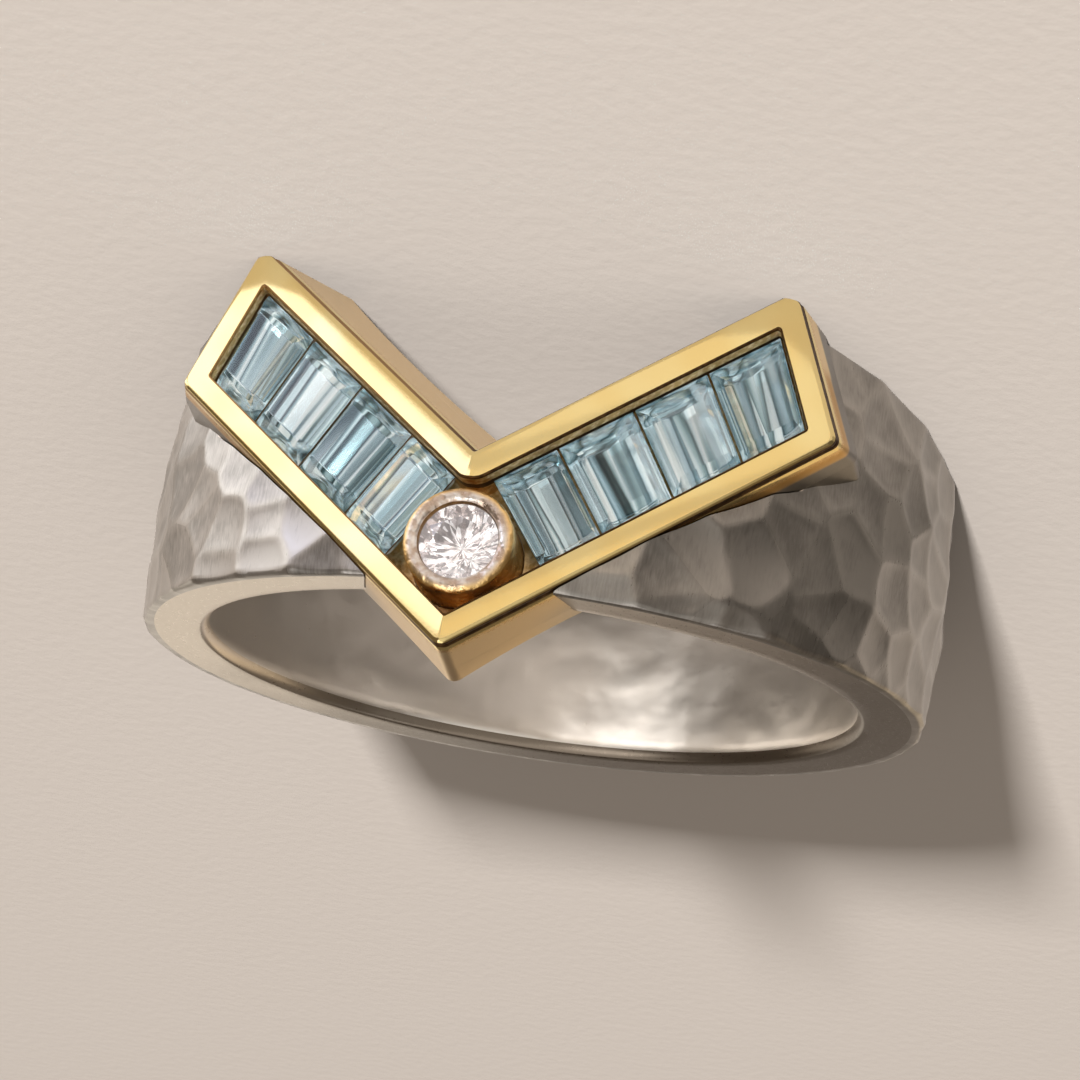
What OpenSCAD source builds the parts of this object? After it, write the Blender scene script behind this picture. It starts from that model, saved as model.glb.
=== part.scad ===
// Chevron ring: a tapered band with a gold V-shaped tray of stones folded over its front.
// The ring is drawn standing, with the bore along Y, the near rim towards -Y and the tray on top.
// It is then laid down on its far rim, which is how it rests by itself.

/* [Band] */
// Inside diameter, for the finger
bore_d = 18.2; // [15:0.2:22]
// Thickness of the band's wall, half way between the rims
band_wall = 2.05; // [1.6:0.05:2.4]
// Radius of the slight dome across the band's outer face
dome_r = 36; // [20:1:80]
// Width of the band at its two sides
side_w = 7; // [6:0.1:8]
// Slope of each rim, which makes the band wide in front and narrow behind
rim_slope = 6.1; // [3:0.1:8]
// Depth of the comfort bevel into the rim
bevel_depth = 0.28; // [0.1:0.05:0.5]
// Length of the comfort bevel along the bore
bevel_len = 0.6; // [0.3:0.1:1]

/* [Chevron frame] */
// Height of the ridge, where the two arms meet, above the bore
ridge_h = 2.3; // [2.2:0.05:3]
// Angle at which each arm falls away from the ridge
arm_fall = 15; // [10:0.5:20]
// Angle of each arm to the rims, measured in the arm's own plane
arm_angle = 39.2; // [34:0.2:44]
// How far the channel's bend lies in front of the band's middle
bend_offset = 4; // [3:0.05:5]
// Clear width of the channel between its walls
channel_w = 2.72; // [2.4:0.02:3.2]
// Thickness of the frame's wall, at its top
frame_wall = 0.67; // [0.5:0.01:0.9]
// Lean of the outer walls from upright: the near ones, the two ends, and the far ones in the notch
wall_lean = [4, 18, 24]; // [0:1:30]
// Thickness of the frame's floor
floor_t = 0.27; // [0.2:0.01:0.4]

/* [Baguettes] */
// Widths of the four stones of an arm, from the collet outwards
stone_w = [1.8, 2.12, 2.08, 2.0]; // [1.5:0.02:2.6]
// Tilt of the stones' end lines towards the bore, from the collet outwards
end_tilts = [2, 4, 7, 10.5, 17]; // [0:0.5:20]
// Gap between neighbouring stones
stone_gap = 0.07; // [0.04:0.01:0.15]
// How far the tables lie below the frame's top
table_recess = 0.18; // [0.1:0.02:0.4]
// Height of a stone above its girdle
crown_h = 0.3; // [0.2:0.02:0.4]
// Thickness of a stone's girdle
girdle_t = 0.05; // [0.03:0.01:0.1]
// Depth of a stone below its girdle
pavilion_h = 0.62; // [0.4:0.02:0.8]

/* [Collet and brilliant] */
// Outside diameter of the collet
collet_d = 2.84; // [2.6:0.02:2.9]
// Diameter of the brilliant
brilliant_d = 2.24; // [1.9:0.02:2.3]
// Width of the lip that laps over the brilliant
lip_lap = 0.1; // [0.05:0.01:0.15]
// Diameter of the open back of the collet
collet_hole_d = 1.2; // [0.8:0.05:1.4]
// Gap between the collet and the corner that it stands in
collet_gap = 0.08; // [0.04:0.01:0.2]
// Wall left under the collet's round seat
seat_wall = 0.46; // [0.4:0.02:0.6]

/* [Fits] */
// Clearance between separate pieces
piece_gap = 0.03; // [0.02:0.005:0.05]

/* [Hidden] */
$fn = 96;

steel_colour = "#9a9692";
gold_colour = "#d9ae4e";
lip_colour = "#d8b48c";
aqua_colour = "#a9cdd4";
clear_colour = "#e6e9ee";

bore_r = bore_d / 2;
band_r = bore_r + band_wall;
half_w = side_w / 2;
ridge_z = bore_r + ridge_h;
// A length that reaches past the whole ring, for cutting tools
far_away = 3 * band_r;

// Depths in the tray are square to an arm. Straight down they are longer by this factor.
down = 1 / cos(arm_fall);
tray_depth = table_recess + crown_h + girdle_t + pavilion_h + piece_gap;
floor_z = ridge_z - tray_depth * down;
tray_bottom_z = floor_z - floor_t * down;
seat_z = tray_bottom_z - piece_gap * down;
// The end walls lean as deep as the tray. They go straight down from the middle of the gap below it.
end_lean_depth = ridge_z - (tray_bottom_z + seat_z) / 2;

// The collet stands in the channel's bend, one gap clear of the inner corner of the notch.
collet_r = collet_d / 2;
inner_notch_y = bend_y(channel_w / 2);
collet_y = inner_notch_y - collet_gap - collet_r;
collet_seat_z = bore_r + seat_wall;
collet_foot_z = collet_seat_z + piece_gap;
collet_h = ridge_z - collet_foot_z;

// Proportions of a brilliant, as shares of its radius
table_share = 0.57;
star_share = 0.79;
crown_share = 0.29;
pavilion_share = 0.86;
lower_share = 0.28;
brilliant_girdle_share = 0.05;
// A brilliant has eight mains, and half a turn between two of them
main_turn = 360 / 8;
half_turn = main_turn / 2;
brilliant_r = brilliant_d / 2;
brilliant_crown = crown_share * brilliant_r;
brilliant_girdle = brilliant_girdle_share * brilliant_r;
brilliant_pavilion = pavilion_share * brilliant_r;
// The brilliant's table is level with the top of the collet.
brilliant_z = ridge_z - brilliant_crown - brilliant_girdle;

// Round of the collet's lip from its outer edge to its inner edge: distance from the collet's side as a
// share of the lip's width, and drop from its top as a share of its height above the crown
lip_round = [[0, 1], [0.08, 0.25], [0.25, 0.06], [0.42, 0], [0.66, 0.06], [0.88, 0.35], [1, 1]];

// Facet steps of a baguette from the table down: height as a share of crown (above) or pavilion (below),
// inset from the two long edges and from the two ends as shares of the stone's width
table_step = [1, 0.24, 0.24];
crown_step = [0.6, 0.11, 0.12];
girdle_step = [0, 0, 0];
pavilion_step = [-0.5, 0.2, 0.3];
keel_step = [-1, 0.46, 0.62];

// Points of an arm, in its own plane: t runs along the channel's centre line from the ridge,
// and v runs across it towards the far rim
function on_arm(t, v) = [
    t * cos(arm_angle) - v * sin(arm_angle),
    -bend_offset + t * sin(arm_angle) + v * cos(arm_angle)
];
// Where a line at v meets the ridge
function bend_y(v) = -bend_offset + v / cos(arm_angle);
// The same point seen from straight above, where an arm's plane is foreshortened
function from_above(p) = [p[0] * cos(arm_fall), p[1]];
// End line number i of an arm: its t at a distance v from the centre line, moved along by shift
function end_t(i, v, shift) = line_t(i) + shift / cos(end_tilts[i]) + v * tan(end_tilts[i]);

// The first stone starts clear of the collet, allowing for its slanted end.
first_t = (collet_y + bend_offset) * sin(arm_angle) + collet_r + collet_gap
    + channel_w / 2 * tan(end_tilts[0]);
stone_count = len(stone_w);
function sum_to(i) = i == 0 ? 0 : sum_to(i - 1) + stone_w[i - 1] + stone_gap;
function line_t(i) = first_t + sum_to(i);

// Outline of the V from above, grown by m beyond the channel's walls. At a depth below the roof it is
// wider, because the walls lean.
function v_outline(m, depth = 0) =
    let (v_near = channel_w / 2 + m + depth * tan(wall_lean[0]),
         v_far = channel_w / 2 + m + depth * tan(wall_lean[2]),
         m_end = m + min(depth, end_lean_depth) * tan(wall_lean[1]),
         e = stone_count,
         near = from_above(on_arm(end_t(e, -v_near, m_end), -v_near)),
         far = from_above(on_arm(end_t(e, v_far, m_end), v_far)))
    [[0, bend_y(-v_near)], near, far, [0, bend_y(v_far)], [-far[0], far[1]], [-near[0], near[1]]];

outer_outline = v_outline(frame_wall);
notch_y = outer_outline[3][1];
far_corner = outer_outline[2];
// The leaning walls go down into the bore, also at the notch's two corners
corner_bore_z = sqrt(bore_r * bore_r - far_corner[0] * far_corner[0]);
foot_z = corner_bore_z + far_corner[0] * tan(arm_fall) - band_wall / 4;

// Where the laid ring goes, so that its box stands centred over the origin. Behind, it reaches to the
// edge of the near rim, where the dome has fallen a little.
back_y = half_w - band_r * tan(rim_slope);
back_r = band_r - dome_r + sqrt(dome_r * dome_r - back_y * back_y);
front_reach = notch_y * sin(rim_slope) + ridge_z * cos(rim_slope);
back_reach = back_y * sin(rim_slope) + back_r * cos(rim_slope);
lay_y = (front_reach - back_reach) / 2;
lay_z = half_w * cos(rim_slope);

module laid_down() {
    translate([0, lay_y, lay_z]) rotate([90 - rim_slope, 0, 0]) rotate([0, 0, 180]) children();
}

// A cylinder along the bore
module along_bore(r) {
    rotate([90, 0, 0]) cylinder(r = r, h = 2 * far_away, center = true);
}

// The band before its rims are cut: a barrel whose side is an arc
module barrel() {
    rotate([90, 0, 0]) rotate_extrude($fn = 2 * $fn) intersection() {
        translate([band_r - dome_r, 0]) circle(r = dome_r, $fn = 4 * $fn);
        translate([0, -band_r]) square([2 * band_r, 2 * band_r]);
    }
}

// Everything on the band's side of one rim: side is 1 for the far rim and -1 for the near rim
module inside_rim(side) {
    translate([0, side * half_w, 0]) rotate([-side * rim_slope, 0, 0])
        translate([-far_away, side > 0 ? -2 * far_away : 0, -far_away])
            cube([2 * far_away, 2 * far_away, 2 * far_away]);
}

// Everything below the two arm planes, whose ridge is at height h
module below_roof(h) {
    eave = h - far_away * tan(arm_fall);
    rotate([90, 0, 0]) linear_extrude(height = 2 * far_away, center = true)
        polygon([[-far_away, -far_away], [-far_away, eave], [0, h],
                 [far_away, eave], [far_away, -far_away]]);
}

// The V outline of the roof as an upright block, grown by m
module upright_block(m) {
    linear_extrude(height = far_away) polygon(v_outline(m));
}

// The V with its leaning walls, grown by m, from the roof down into the bore
module leaning_block(m) {
    function at_depth(d) =
        [for (p = v_outline(m, d)) [p[0], p[1], ridge_z - d - abs(p[0]) * tan(arm_fall)]];
    depths = [0, end_lean_depth, ridge_z - foot_z];
    n = len(outer_outline);
    polyhedron([for (d = depths) each at_depth(d)], concat(
        [[3, 2, 1, 0], [0, 5, 4, 3]],
        [for (row = [0, n], k = [0:n - 1])
            [row + k, row + (k + 1) % n, row + n + (k + 1) % n, row + n + k]],
        [for (half = [[0, 1, 2, 3], [3, 4, 5, 0]]) [for (k = half) 2 * n + k]]
    ));
}

// The comfort bevel of one rim, left out under the V, whose wall runs down to the bore.
// The cone meets the bore one bevel inside the rim, and runs on by one more bevel at each end.
module bevel_cut(side) {
    inner_r = bore_r - bevel_depth;
    rim_r = bore_r + bevel_depth;
    difference() {
        translate([0, side * half_w, 0]) rotate([-side * rim_slope, 0, 0]) rotate([-side * 90, 0, 0])
            translate([0, 0, -2 * bevel_len])
                cylinder(r1 = inner_r, r2 = rim_r + bevel_depth, h = 3 * bevel_len);
        if (side < 0) upright_block(frame_wall + bevel_depth);
    }
}

module band() {
    color(steel_colour) difference() {
        union() {
            difference() {
                intersection() {
                    barrel();
                    inside_rim(1);
                    inside_rim(-1);
                }
                // The notch in the far rim. The V's own walls lean out into it.
                linear_extrude(height = far_away)
                    polygon([[0, notch_y], far_corner, [far_corner[0], far_away],
                             [-far_corner[0], far_away], [-far_corner[0], far_corner[1]]]);
            }
            intersection() {
                leaning_block(frame_wall);
                inside_rim(1);
            }
        }
        along_bore(bore_r);
        // The seat of the tray, and what stands above it
        difference() {
            union() {
                leaning_block(frame_wall + piece_gap);
                upright_block(frame_wall + piece_gap);
            }
            below_roof(seat_z);
        }
        // The round seat of the collet
        translate([0, collet_y, collet_seat_z]) cylinder(r = collet_r + piece_gap, h = far_away);
        bevel_cut(1);
        bevel_cut(-1);
    }
}

module chevron_frame() {
    color(gold_colour) difference() {
        intersection() {
            leaning_block(frame_wall);
            inside_rim(1);
        }
        below_roof(tray_bottom_z);
        difference() {
            upright_block(0);
            below_roof(floor_z);
        }
        translate([0, collet_y, 0]) cylinder(r = collet_r + piece_gap, h = far_away);
    }
}

module collet() {
    lip_r = brilliant_r - lip_lap;
    stone_r = brilliant_r + piece_gap;
    hole_r = collet_hole_d / 2;
    crown_rise = brilliant_crown / (brilliant_r * (1 - table_share));
    pavilion_rise = brilliant_pavilion / brilliant_r;
    top = collet_h;
    girdle_top = top - brilliant_crown;
    groove_top = girdle_top + piece_gap;
    groove_bottom = girdle_top - brilliant_girdle - piece_gap;
    lip_under = groove_top + lip_lap * crown_rise;
    hole_top = groove_bottom - (stone_r - hole_r) * pavilion_rise;
    lip_w = collet_r - lip_r;
    lip_h = top - lip_under;
    color(lip_colour) translate([0, collet_y, collet_foot_z]) rotate_extrude()
        polygon([
            [hole_r, 0], [collet_r, 0],
            for (p = lip_round) [collet_r - p[0] * lip_w, top - p[1] * lip_h],
            [stone_r, groove_top], [stone_r, groove_bottom], [hole_r, hole_top]
        ]);
}

// A round brilliant with its girdle's lower edge at z = 0: eight-fold, with star, kite and girdle
// facets above and lower girdle and main facets below
module brilliant() {
    r = brilliant_r;
    table_r = table_share * r;
    star_r = star_share * r;
    low_r = lower_share * r;
    girdle_top = brilliant_girdle;
    table_z = brilliant_girdle + brilliant_crown;
    // Both rings of middle points lie in the planes of the kites and of the mains
    star_z = table_z + (star_r * cos(half_turn) - table_r) * (girdle_top - table_z) / (r - table_r);
    low_z = -brilliant_pavilion * (1 - low_r * cos(half_turn) / r);
    turn8 = [for (i = [0:7]) i * main_turn];
    turn16 = [for (i = [0:15]) i * half_turn];
    points = concat(
        [for (a = turn8) [table_r * cos(a), table_r * sin(a), table_z]],
        [for (a = turn8) [star_r * cos(a + half_turn), star_r * sin(a + half_turn), star_z]],
        [for (a = turn16) [r * cos(a), r * sin(a), girdle_top]],
        [for (a = turn16) [r * cos(a), r * sin(a), 0]],
        [for (a = turn8) [low_r * cos(a + half_turn), low_r * sin(a + half_turn), low_z]],
        [[0, 0, -brilliant_pavilion]]
    );
    star = 8;
    girdle_up = 16;
    girdle_low = 32;
    low = 48;
    culet = 56;
    faces = concat(
        [[for (i = [7:-1:0]) i]],
        [for (i = [0:7]) [i, (i + 1) % 8, star + i]],
        [for (i = [0:7]) [i, star + i, girdle_up + 2 * i]],
        [for (i = [0:7]) [i, girdle_up + 2 * i, star + (i + 7) % 8]],
        [for (i = [0:7]) [star + i, girdle_up + 2 * i + 1, girdle_up + 2 * i]],
        [for (i = [0:7]) [star + i, girdle_up + (2 * i + 2) % 16, girdle_up + 2 * i + 1]],
        [for (i = [0:15]) [girdle_up + i, girdle_up + (i + 1) % 16, girdle_low + (i + 1) % 16]],
        [for (i = [0:15]) [girdle_up + i, girdle_low + (i + 1) % 16, girdle_low + i]],
        [for (i = [0:7]) [low + i, girdle_low + 2 * i, girdle_low + 2 * i + 1]],
        [for (i = [0:7]) [low + i, girdle_low + 2 * i + 1, girdle_low + (2 * i + 2) % 16]],
        [for (i = [0:7]) [culet, girdle_low + 2 * i, low + i]],
        [for (i = [0:7]) [culet, low + (i + 7) % 8, girdle_low + 2 * i]]
    );
    color(clear_colour) translate([0, collet_y, brilliant_z]) polyhedron(points, faces);
}

// One facet step of stone i: four corners around, at the step's height
function step_ring(i, step) =
    let (long_inset = step[1] * stone_w[i], end_inset = step[2] * stone_w[i],
         v = channel_w / 2 - piece_gap - end_inset,
         z = step[0] > 0 ? girdle_t + step[0] * crown_h : step[0] * pavilion_h,
         t_in = line_t(i) + long_inset / cos(end_tilts[i]),
         t_out = line_t(i) + stone_w[i] - long_inset / cos(end_tilts[i + 1]),
         slope_in = tan(end_tilts[i]), slope_out = tan(end_tilts[i + 1]))
    [for (c = [[t_in, slope_in, -v], [t_out, slope_out, -v], [t_out, slope_out, v], [t_in, slope_in, v]])
        let (p = on_arm(c[0] + c[1] * c[2], c[2])) [p[0], p[1], z]];

// A step-cut baguette, tapered where its two end lines differ: side is 1 for the right arm
// and -1 for the left, and i counts from the collet
module baguette(side, i) {
    girdle_low = step_ring(i, girdle_step);
    girdle_up = [for (p = girdle_low) p + [0, 0, girdle_t]];
    rings = [step_ring(i, table_step), step_ring(i, crown_step), girdle_up,
             girdle_low, step_ring(i, pavilion_step), step_ring(i, keel_step)];
    points = [for (ring = rings) each ring];
    last = 4 * (len(rings) - 1);
    faces = concat(
        [[3, 2, 1, 0]],
        [for (k = [0:len(rings) - 2], c = [0:3])
            [4 * k + c, 4 * k + (c + 1) % 4, 4 * k + 4 + (c + 1) % 4, 4 * k + 4 + c]],
        [[last, last + 1, last + 2, last + 3]]
    );
    girdle_z = ridge_z - (table_recess + crown_h + girdle_t) * down;
    color(aqua_colour) mirror([side > 0 ? 0 : 1, 0, 0])
        translate([0, 0, girdle_z]) rotate([0, arm_fall, 0]) polyhedron(points, faces);
}

laid_down() band();
laid_down() chevron_frame();
laid_down() collet();
laid_down() brilliant();
laid_down() baguette(-1, 0);  // baguette_l1
laid_down() baguette(-1, 1);  // baguette_l2
laid_down() baguette(-1, 2);  // baguette_l3
laid_down() baguette(-1, 3);  // baguette_l4
laid_down() baguette(1, 0);  // baguette_r1
laid_down() baguette(1, 1);  // baguette_r2
laid_down() baguette(1, 2);  // baguette_r3
laid_down() baguette(1, 3);  // baguette_r4
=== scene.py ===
import bpy
import math
import numpy as np
from mathutils import Matrix, Vector


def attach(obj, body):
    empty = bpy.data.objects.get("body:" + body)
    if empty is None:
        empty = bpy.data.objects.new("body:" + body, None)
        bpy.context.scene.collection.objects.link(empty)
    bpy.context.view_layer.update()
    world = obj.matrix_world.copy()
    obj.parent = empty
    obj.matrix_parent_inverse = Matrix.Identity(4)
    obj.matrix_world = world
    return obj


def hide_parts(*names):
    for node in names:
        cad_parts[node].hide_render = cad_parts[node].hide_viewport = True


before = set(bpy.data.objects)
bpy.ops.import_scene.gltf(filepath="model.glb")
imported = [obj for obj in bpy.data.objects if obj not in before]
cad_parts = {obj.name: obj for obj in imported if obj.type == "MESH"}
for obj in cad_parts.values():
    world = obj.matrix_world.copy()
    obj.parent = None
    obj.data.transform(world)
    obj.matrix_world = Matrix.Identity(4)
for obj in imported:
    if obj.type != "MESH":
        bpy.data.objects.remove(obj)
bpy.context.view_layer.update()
print("the packed ring is loaded")

mm = 0.001

# The ring is worked out standing, in millimetres: x across, y along the bore, z up at the chevron.
ring = {
    "boreRadius": 9.1,
    "outerRadius": 11.15,
    "domeRadius": 36.0,
    "halfWidth": 3.5,
    "rimSlope": math.radians(6.1),
}
chevron = {
    "ridgeHeight": 11.4,
    "armFall": math.radians(15),
    "armAngle": math.radians(39.2),
    "bendOffset": 4.0,
    "channelWidth": 2.72,
    "wall": 0.67,
    "floor": 0.27,
    "trayDepth": 1.18,
    "gap": 0.03,
    "firstEnd": math.radians(2),
    "lastEnd": math.radians(17),
    "stoneWidths": [1.8, 2.12, 2.08, 2.0],
    "stoneGap": 0.07,
    "colletRadius": 1.42,
    "colletGap": 0.08,
    # height of the collet's seat over the bore, and how far the boss reaches into the bore before it is cut
    "colletSeat": 0.46,
    "bossReach": 0.51,
    # lean of the outer walls from upright: near walls, end walls, far walls
    "lean": [math.tan(math.radians(a)) for a in (4, 18, 24)],
}

halfChannel = chevron["channelWidth"] / 2
steepness = 1 / math.cos(chevron["armFall"])
floorHeight = chevron["ridgeHeight"] - chevron["trayDepth"] * steepness
trayBottom = floorHeight - chevron["floor"] * steepness
seatHeight = trayBottom - chevron["gap"] * steepness
endLeanDepth = chevron["ridgeHeight"] - (trayBottom + seatHeight) / 2


def bendY(v):
    return -chevron["bendOffset"] + v / math.cos(chevron["armAngle"])


def roofDrop(x):
    return abs(x) * math.tan(chevron["armFall"])


colletY = bendY(halfChannel) - chevron["colletGap"] - chevron["colletRadius"]
firstT = (
    (colletY + chevron["bendOffset"]) * math.sin(chevron["armAngle"])
    + chevron["colletRadius"] + chevron["colletGap"] + halfChannel * math.tan(chevron["firstEnd"])
)
lastT = firstT + sum(chevron["stoneWidths"]) + len(chevron["stoneWidths"]) * chevron["stoneGap"]


def armPlace(t, v):
    # a place t along an arm and v across it, before the arm falls away to the side
    a = chevron["armAngle"]
    return t * math.cos(a) - v * math.sin(a), -chevron["bendOffset"] + t * math.sin(a) + v * math.cos(a)


def armCorner(grow, endGrow, side):
    # outer end of an arm, seen from above, on the far side of the channel (1) or the near side (-1)
    v = side * (halfChannel + grow)
    t = lastT + endGrow / math.cos(chevron["lastEnd"]) + v * math.tan(chevron["lastEnd"])
    x, y = armPlace(t, v)
    return (x * math.cos(chevron["armFall"]), y)


def chevronOutline(grow, depth=0.0):
    # the channel's outline grown outwards, and by the walls' lean at a depth straight below the roof
    nearLean, endLean, farLean = chevron["lean"]
    near, far = grow + depth * nearLean, grow + depth * farLean
    end = grow + min(depth, endLeanDepth) * endLean
    p, q = armCorner(near, end, -1), armCorner(far, end, 1)
    point, notch = (0, bendY(-halfChannel - near)), (0, bendY(halfChannel + far))
    return [point, p, q, notch, (-q[0], q[1]), (-p[0], p[1])]


topOutline = chevronOutline(chevron["wall"])
notchY = topOutline[3][1]
farCorner = topOutline[2]
boreTop = math.sqrt(ring["boreRadius"] ** 2 - farCorner[0] ** 2)
footDepth = chevron["ridgeHeight"] - boreTop - roofDrop(farCorner[0]) + chevron["bossReach"]
slope = ring["rimSlope"]
backY = ring["halfWidth"] - ring["outerRadius"] * math.tan(slope)
backR = ring["outerRadius"] - ring["domeRadius"] + math.sqrt(ring["domeRadius"] ** 2 - backY ** 2)
frontReach = notchY * math.sin(slope) + chevron["ridgeHeight"] * math.cos(slope)
backReach = backY * math.sin(slope) + backR * math.cos(slope)
layDown = (
    Matrix.Translation((0, (frontReach - backReach) / 2 * mm, ring["halfWidth"] * math.cos(slope) * mm))
    @ Matrix.Rotation(math.pi / 2 - slope, 4, "X")
    @ Matrix.Rotation(math.pi, 4, "Z")
    @ Matrix.Scale(mm, 4)
)


def operator(operation, swapped=False):
    def build(self, other):
        first, second = (other, self) if swapped else (self, other)
        return self.bench.add("ShaderNodeMath", {"operation": operation}, first, second)
    return build


class Wire:
    # one output socket: arithmetic on it adds Math nodes to its tree
    def __init__(self, bench, socket):
        self.bench, self.socket = bench, socket

    def maths(self, operation, *others):
        return self.bench.add("ShaderNodeMath", {"operation": operation}, self, *others)

    def swing(self, spread):
        # a noise's value turned into a swing about zero
        return (self - 0.5) * spread

    __add__ = __radd__ = operator("ADD")
    __mul__ = __rmul__ = operator("MULTIPLY")
    __sub__, __rsub__ = operator("SUBTRACT"), operator("SUBTRACT", swapped=True)
    __truediv__, __rtruediv__ = operator("DIVIDE"), operator("DIVIDE", swapped=True)
    __pow__ = operator("POWER")


class Bench:
    # a node tree, a shader's or a geometry one, and the one way to add a node to it
    def __init__(self, tree):
        self.tree = tree

    def add(self, nodeType, settings=None, *values, out=0, **named):
        node = self.tree.nodes.new(nodeType)
        for key, value in (settings or {}).items():
            if key == "stops":
                self.setStops(node.color_ramp, value)
            else:
                setattr(node, key, value)
        for index, value in enumerate(values):
            self.connect(value, node.inputs[index])
        for key, value in named.items():
            self.connect(value, self.inputCalled(node, key))
        return Wire(self, node.outputs[out]) if len(node.outputs) else None

    def connect(self, value, socket):
        # links a wire to an input, or sets the input to a plain value
        if isinstance(value, Wire):
            self.tree.links.new(value.socket, socket)
        else:
            socket.default_value = value

    def inputCalled(self, node, key):
        plain = key.replace("_", " ").lower()
        for socket in node.inputs:
            if socket.enabled and socket.name.lower() == plain:
                return socket
        raise KeyError(key)

    def setStops(self, ramp, stops):
        while len(ramp.elements) < len(stops):
            ramp.elements.new(1.0)
        for element, (position, colour) in zip(ramp.elements, stops):
            element.position = position
            element.color = (*colour, 1)

    def output(self, wire, index):
        # another output of the node that this wire comes from
        return Wire(self, wire.socket.node.outputs[index])

    def blend(self, share, first, second):
        a, b = [(*colour, 1) if isinstance(colour, tuple) else colour for colour in (first, second)]
        return self.add("ShaderNodeMix", {"data_type": "RGBA"}, out=2, Factor=share, A=a, B=b)

    def ramp(self, value, low, high, start=0.0, end=1.0):
        smooth = {"interpolation_type": "SMOOTHSTEP"}
        return self.add("ShaderNodeMapRange", smooth, value, low, high, start, end)

    def noise(self, vector, scale, detail, **more):
        return self.add("ShaderNodeTexNoise", None, Vector=vector, Scale=scale, Detail=detail, **more)

    def vector(self, operation, *values, **more):
        return self.add("ShaderNodeVectorMath", {"operation": operation}, *values, **more)

    def bump(self, height, depth, strength):
        # depth is in millimetres
        return self.add("ShaderNodeBump", None, Strength=strength, Distance=depth * mm, Height=height)

    def split(self, vector):
        x = self.add("ShaderNodeSeparateXYZ", None, vector)
        return x, self.output(x, 1), self.output(x, 2)


class Finish(Bench):
    # a new material's tree
    def __init__(self, name, base, metallic, roughness, **constants):
        self.material = bpy.data.materials.new(name)
        self.material.use_nodes = True
        self.material.diffuse_color = (*base, 1)
        super().__init__(self.material.node_tree)
        self.feed(Base_Color=(*base, 1), Metallic=metallic, Roughness=roughness, **constants)

    def feed(self, **values):
        # sets or links inputs of the Principled BSDF, and gives the material back
        shader = self.tree.nodes["Principled BSDF"]
        for key, value in values.items():
            self.connect(value, shader.inputs[key.replace("_", " ")])
        return self.material


def standing(bench):
    # Object coordinates turned back into the standing ring's millimetres
    location, rotation, size = layDown.decompose()
    return bench.add(
        "ShaderNodeMapping", {"vector_type": "TEXTURE"}, bench.add("ShaderNodeTexCoord", out=3),
        tuple(location), tuple(rotation.to_euler("XYZ")), tuple(size),
    )


def addObject(name, data):
    thing = bpy.data.objects.new(name, data)
    bpy.context.scene.collection.objects.link(thing)
    return thing


# Camera: worked out from the photograph's corners and rims, in the standing ring's frame.
cameraView = {
    "tilt": math.radians(20.47),
    "turn": math.radians(12.64),
    "roll": math.radians(10.03),
    "distance": 101.4,
    "sideStep": 0.317,
    "rise": -0.773,
    "focalPixels": 3580.9,
    "framePixels": 1080,
    "sensorWidth": 36,
    "clip": (0.005, 20),
}


def placeCamera(view):
    tilt, turn, roll = view["tilt"], view["turn"], view["roll"]
    across = Vector((math.cos(turn), 0, -math.sin(turn)))
    upright = Vector((math.sin(turn) * math.sin(tilt), math.cos(tilt), math.cos(turn) * math.sin(tilt)))
    back = Vector((math.sin(turn) * math.cos(tilt), -math.sin(tilt), math.cos(turn) * math.cos(tilt)))
    right = math.cos(roll) * across + math.sin(roll) * upright
    up = -math.sin(roll) * across + math.cos(roll) * upright
    position = -view["sideStep"] * right - view["rise"] * up + view["distance"] * back
    turned = layDown.to_3x3() * (1 / mm)
    axes = Matrix([turned @ right, turned @ up, turned @ back]).transposed()
    data = bpy.data.cameras.new("camera")
    data.sensor_width = view["sensorWidth"]
    data.lens = view["focalPixels"] * data.sensor_width / view["framePixels"]
    data.clip_start, data.clip_end = view["clip"]
    camera = addObject("camera", data)
    camera.matrix_world = Matrix.Translation(layDown @ position) @ axes.to_4x4()
    bpy.context.scene.camera = camera
    return camera


camera = placeCamera(cameraView)
print("camera", [round(c, 4) for c in camera.matrix_world.translation])

# Corners of the chevron, on the frame and on the band's boss alike
outerCorners = {"plain": 0.3, "notch": 0.06}
bossCorners = [outerCorners["plain"]] * 3 + [outerCorners["notch"]] + [outerCorners["plain"]] * 2


def softCorners(outline, radii, steps=6):
    # the outline with each corner turned on an arc; points next to the middle line are put on it
    middleWidth = 1e-6
    corners = [Vector(p) for p in outline]
    points = []
    for k, corner in enumerate(corners):
        toLast = (corners[k - 1] - corner).normalized()
        toNext = (corners[(k + 1) % len(corners)] - corner).normalized()
        half = toLast.angle(toNext) / 2
        centre = corner + (toLast + toNext).normalized() * radii[k] / math.sin(half)
        start = corner + toLast * radii[k] / math.tan(half) - centre
        end = corner + toNext * radii[k] / math.tan(half) - centre
        sweep = start.angle_signed(end)
        for step in range(steps + 1):
            p = centre + Matrix.Rotation(-sweep * step / steps, 2) @ start
            points.append((0.0 if abs(p.x) < middleWidth else p.x, p.y))
    return points


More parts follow.
